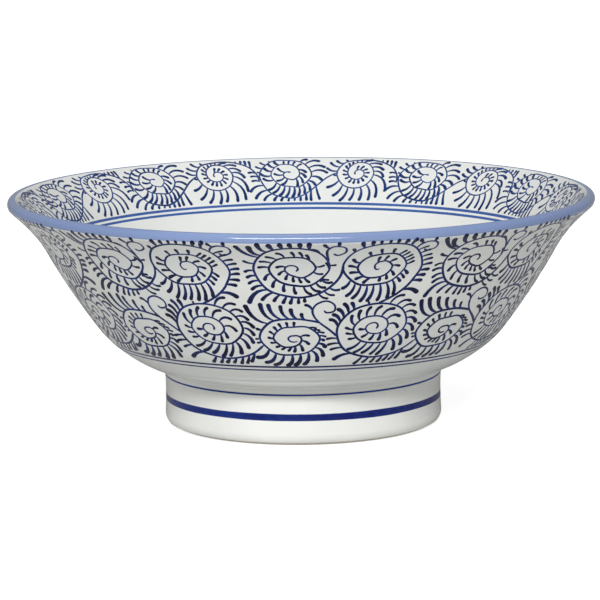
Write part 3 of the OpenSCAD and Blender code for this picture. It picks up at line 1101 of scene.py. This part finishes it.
def stage_camera():
    elevation = math.radians(CAMERA_ELEVATION)
    out, up = CAMERA_DISTANCE * math.cos(elevation), CAMERA_DISTANCE * math.sin(elevation)
    place = (0.0, -out, CAMERA_AIM[2] + up)
    data = bpy.data.cameras.new("camera")
    data.sensor_width = 36.0
    data.lens = 218.98
    data.shift_x = -0.0039
    data.shift_y = 0.0153
    camera = bpy.data.objects.new("camera", data)
    roll = Matrix.Rotation(math.radians(CAMERA_ROLL), 4, "Z")
    camera.matrix_world = facing(place, CAMERA_AIM) @ roll
    return camera


# ---------------------------------------------------------------- operators

class BOWL_OT_clay(Operator):
    """Turn the clay body, the foot ring and the slip that joins them"""
    bl_idname = "bowl.clay"
    bl_label = "Clay body and foot"

    def execute(self, context):
        s = sizes()
        o = bowl_outline()
        clay = clay_material("bare_porcelain_clay", colours().clay)
        shell = join(
            o.outer_face(s.glaze, HIDDEN_STEPS),
            o.low_rim(s.glaze),
            o.band_rim(s.glaze),
            o.inner_rim(s.glaze),
            o.inner_face(s.glaze, HIDDEN_STEPS),
            complex(0, o.joint))
        new_piece("bowl_body", turned("bowl_body", shell), clay, "porcelain_body", "bowl_shell")
        ring = join(
            arc(o.outer_edge, FOOT_EDGE_RADIUS - s.glaze, -90, -BARE_ANGLE),
            o.foot_face(s.glaze, HIDDEN_STEPS),
            complex(o.well_top + s.glaze, s.foot_height),
            o.well_lip(s.glaze),
            arc(o.well_edge, WELL_EDGE_RADIUS - s.glaze, 180 + BARE_ANGLE, 270))
        new_piece("standing_foot", turned("standing_foot", ring), clay, "porcelain_body", "foot_ring")
        slip = clay_material("fired_slip_clay", darker(colours().clay, 0.93))
        inner, outer = o.well_top + s.glaze, o.foot_radius - s.glaze
        seam = join(complex(inner, s.foot_height), complex(outer, s.foot_height),
                    complex(outer, o.joint), complex(inner, o.joint))
        new_piece("joining_slip", turned("joining_slip", seam), slip, "fired_slip", "luting_slip")
        return {"FINISHED"}


class BOWL_OT_glaze(Operator):
    """Glaze the inside, the outside, the foot and the well"""
    bl_idname = "bowl.glaze"
    bl_label = "Clear glaze"

    def execute(self, context):
        s = sizes()
        o = bowl_outline()
        glaze = clear_glaze()

        def coat(name, node, finished, clay, material=glaze):
            outline = join(finished, clay[::-1])
            new_piece(name, turned(name, outline), material, "clear_glaze", node)

        coat("inside_glaze", "inner_glaze",
             join(o.inner_rim(0), o.inner_face(0, SHOWN_STEPS)),
             join(o.inner_rim(s.glaze), o.inner_face(s.glaze, HIDDEN_STEPS)))
        coat("outside_glaze", "outer_glaze",
             join(o.outer_face(0, SHOWN_STEPS), o.low_rim(0)),
             join(o.outer_face(s.glaze, HIDDEN_STEPS), o.low_rim(s.glaze)))
        # The foot's coat uses a lighter copy of the clear glaze: painted light for the floor's bounce and
        # the front lamp on the foot
        coat("foot_coat", "foot_glaze",
             join(o.foot_face(0, SHOWN_STEPS), complex(o.foot_radius, o.joint)),
             join(o.foot_face(s.glaze, HIDDEN_STEPS), complex(o.foot_radius - s.glaze, o.joint)),
             glazed_material("foot_glaze_painted_lighter", colours().foot_glaze, colours().glaze))
        pool = complex(o.well_top - POOL_RADIUS, o.joint - s.glaze - POOL_RADIUS)
        well = join(
            complex(0, o.joint - s.glaze),
            arc(pool, POOL_RADIUS, 90, 0),
            o.well_lip(0),
            o.well_lip(s.glaze)[::-1],
            complex(o.well_top + s.glaze, s.foot_height),
            complex(o.well_top + s.glaze, o.joint),
            complex(0, o.joint))
        new_piece("well_coat", turned("well_coat", well), glaze, "clear_glaze", "foot_well_glaze")
        return {"FINISHED"}


class BOWL_OT_rim_band(Operator):
    """Coat the rounded rim with blue glaze"""
    bl_idname = "bowl.rim_band"
    bl_label = "Blue rim"

    def execute(self, context):
        s = sizes()
        o = bowl_outline()
        blue = glazed_material("rim_porcelain_blue", colours().rim_blue, darker(colours().rim_blue),
                               specks=0.0)
        outline = join(o.band_rim(0), o.band_rim(s.glaze)[::-1])
        new_piece("blue_rim", turned("blue_rim", outline), blue, "rim_blue_glaze", "rim_band")
        return {"FINISHED"}


class BOWL_OT_outer_scroll(Operator):
    """Paint the scroll on the outside of the wall"""
    bl_idname = "bowl.outer_scroll"
    bl_label = "Outer scroll"

    def execute(self, context):
        face = outer_paint_face()
        repeat = outer_scroll(face)
        if not repeat.dashes:
            raise RuntimeError("the outer scroll has no dashes")
        vines = Paint(face, 11)
        lay_vines(vines, repeat, brush().vine_width)
        new_piece("outer_vine_lines", vines.mesh("outer_vine_lines"), scroll_cobalt(), "cobalt_blue")
        for name, seed, keep in (("outer_upper_dashes", 12, lambda path: path[0, 1] >= ROW_SPLIT),
                                 ("outer_lower_dashes", 12, lambda path: path[0, 1] < ROW_SPLIT)):
            dashes = Paint(face, seed)
            lay_dashes(dashes, repeat, keep)
            new_piece(name, dashes.mesh(name), scroll_cobalt(), "cobalt_blue")
        return {"FINISHED"}


class BOWL_OT_inner_scroll(Operator):
    """Paint the scroll inside the flared rim"""
    bl_idname = "bowl.inner_scroll"
    bl_label = "Inner scroll"

    def execute(self, context):
        face = inner_paint_face()
        repeat = inner_scroll(face)
        if not repeat.dashes:
            raise RuntimeError("the inner scroll has no dashes")
        vines = Paint(face, 21)
        lay_vines(vines, repeat, 0.75 * brush().vine_width)
        new_piece("inner_vine_lines", vines.mesh("inner_vine_lines"), pale_cobalt(), "cobalt_blue")
        dashes = Paint(face, 22)
        lay_dashes(dashes, repeat, lambda path: True, 0.98)
        new_piece("inner_dashes", dashes.mesh("inner_dashes"), pale_cobalt(), "cobalt_blue")
        return {"FINISHED"}


class BOWL_OT_lines(Operator):
    """Paint the plain lines that bound the scrolls and the lines on the foot"""
    bl_idname = "bowl.lines"
    bl_label = "Border and foot lines"

    def execute(self, context):
        b = brush()
        band_cobalt = cobalt_material("foot_band_cobalt", colours().cobalt_thin, colours().band_blue, 0.5)
        rows = (
            ("outer_border_lines", outer_paint_face(), 31, scroll_cobalt(),
             ((23.7, b.border_width * 1.5, 0.75), (21.6, b.border_width * 1.3, 0.55))),
            ("inner_border_lines", inner_paint_face(), 32, pale_cobalt(),
             ((104.1, b.border_width * 1.6, 0.2), (102.2, b.border_width * 1.5, 0.2))),
        )
        for name, face, seed, cobalt, rings in rows:
            paint = Paint(face, seed)
            for along, width, load in rings:
                lay_ring(paint, along, width, load)
            new_piece(name, paint.mesh(name), cobalt, "cobalt_blue")
        foot = foot_paint_face()
        height = foot.line.imag
        for name, seed, level, width, load in (
                ("foot_thin_line", 33, 0.0181, b.foot_line_width, 0.25),
                ("foot_broad_band", 34, 0.0102, b.foot_band_width, 0.85)):
            paint = Paint(foot, seed)
            lay_ring(paint, float(np.interp(level, height, foot.run)), width, load)
            new_piece(name, paint.mesh(name), band_cobalt, "cobalt_blue")
        return {"FINISHED"}


class BOWL_OT_stage(Operator):
    """Set the pale floor, the soft studio light and the camera"""
    bl_idname = "bowl.stage"
    bl_label = "Stage"

    def execute(self, context):
        scene = context.scene
        floor = bpy.data.meshes.new("studio_floor")
        half = FLOOR_HALF_WIDTH
        floor.from_pydata([(-half, -half, 0), (half, -half, 0), (half, half, 0), (-half, half, 0)],
                          [], [(0, 1, 2, 3)])
        piece = bpy.data.objects.new("studio_floor", floor)
        scene.collection.objects.link(piece)
        floor.materials.append(floor_material())

        world = bpy.data.worlds.new("studio_air")
        world.use_nodes = True
        world.node_tree.nodes["Background"].inputs["Color"].default_value = (1, 1, 1, 1)
        world.node_tree.nodes["Background"].inputs["Strength"].default_value = AIR_LIGHT
        scene.world = world
        for values in SOFT_BOXES:
            scene.collection.objects.link(soft_box(*values))
        scene.view_settings.view_transform = "Standard"
        scene.camera = stage_camera()
        scene.collection.objects.link(scene.camera)
        return {"FINISHED"}


class BOWL_PT_panel(Panel):
    """Sizes, colours and steps of the bowl"""
    bl_label = "Bowl"
    bl_idname = "BOWL_PT_panel"
    bl_space_type = "VIEW_3D"
    bl_region_type = "UI"
    bl_category = "Bowl"

    def draw(self, context):
        layout = self.layout
        for step in STEPS:
            layout.operator(step.bl_idname)
        for settings in (sizes(), brush(), colours()):
            column = layout.column(align=True)
            for name in settings.__annotations__:
                column.prop(settings, name)


STEPS = (BOWL_OT_stage, BOWL_OT_clay, BOWL_OT_glaze, BOWL_OT_rim_band, BOWL_OT_outer_scroll,
         BOWL_OT_inner_scroll, BOWL_OT_lines)
CLASSES = (BowlSizes, BowlBrush, BowlColours) + STEPS + (BOWL_PT_panel,)


def register():
    for kind in CLASSES:
        bpy.utils.register_class(kind)
    bpy.types.Scene.bowl_sizes = PointerProperty(type=BowlSizes)
    bpy.types.Scene.bowl_brush = PointerProperty(type=BowlBrush)
    bpy.types.Scene.bowl_colours = PointerProperty(type=BowlColours)


def unregister():
    del bpy.types.Scene.bowl_sizes
    del bpy.types.Scene.bowl_brush
    del bpy.types.Scene.bowl_colours
    for kind in reversed(CLASSES):
        bpy.utils.unregister_class(kind)


def main():
    register()
    bpy.ops.bowl.stage()
    bpy.ops.bowl.clay()
    bpy.ops.bowl.glaze()
    bpy.ops.bowl.rim_band()
    bpy.ops.bowl.outer_scroll()
    bpy.ops.bowl.inner_scroll()
    bpy.ops.bowl.lines()


if __name__ == "__main__":
    main()
